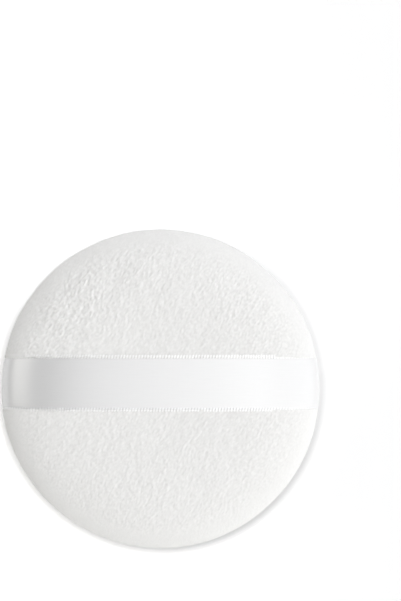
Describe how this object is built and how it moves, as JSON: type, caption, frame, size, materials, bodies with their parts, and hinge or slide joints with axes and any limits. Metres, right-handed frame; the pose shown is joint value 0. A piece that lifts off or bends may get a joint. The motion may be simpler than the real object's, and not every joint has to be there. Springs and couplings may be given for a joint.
{
  "type": "powder puff",
  "caption": "Round velour powder puff with a soft sponge filling, a turned and sewn edge, and a satin ribbon strap across its back for the fingers.",
  "frame": {"origin": "on the middle of the flat resting face of the powdering side, directly under the puff's centre", "axes": "+Z out of the back, where the strap is, square to both faces; +X along the strap; +Y across it, towards the stretch of the seam that is closed by hand"},
  "size_m": [0.085, 0.085, 0.0189],
  "materials": {
    "velour": "short, soft, brushed cut pile, matt with a faint sheen at grazing angles",
    "satin": "smooth woven satin with a soft gloss and fine looped edges",
    "sponge": "matt open-cell foam",
    "wadding": "matt loose fibre sheet",
    "thread": "twisted polyester sewing thread, slight sheen"
  },
  "bodies": {
    "root": {"back_cover": "velour", "face_cover": "velour", "back_wadding": "wadding", "face_wadding": "wadding", "sponge_core": "sponge", "strap_ribbon": "satin", "needle_thread": "thread", "bobbin_thread": "thread", "closing_thread": "thread", "left_tack_thread": "thread", "right_tack_thread": "thread"}
  },
  "joints": []
}
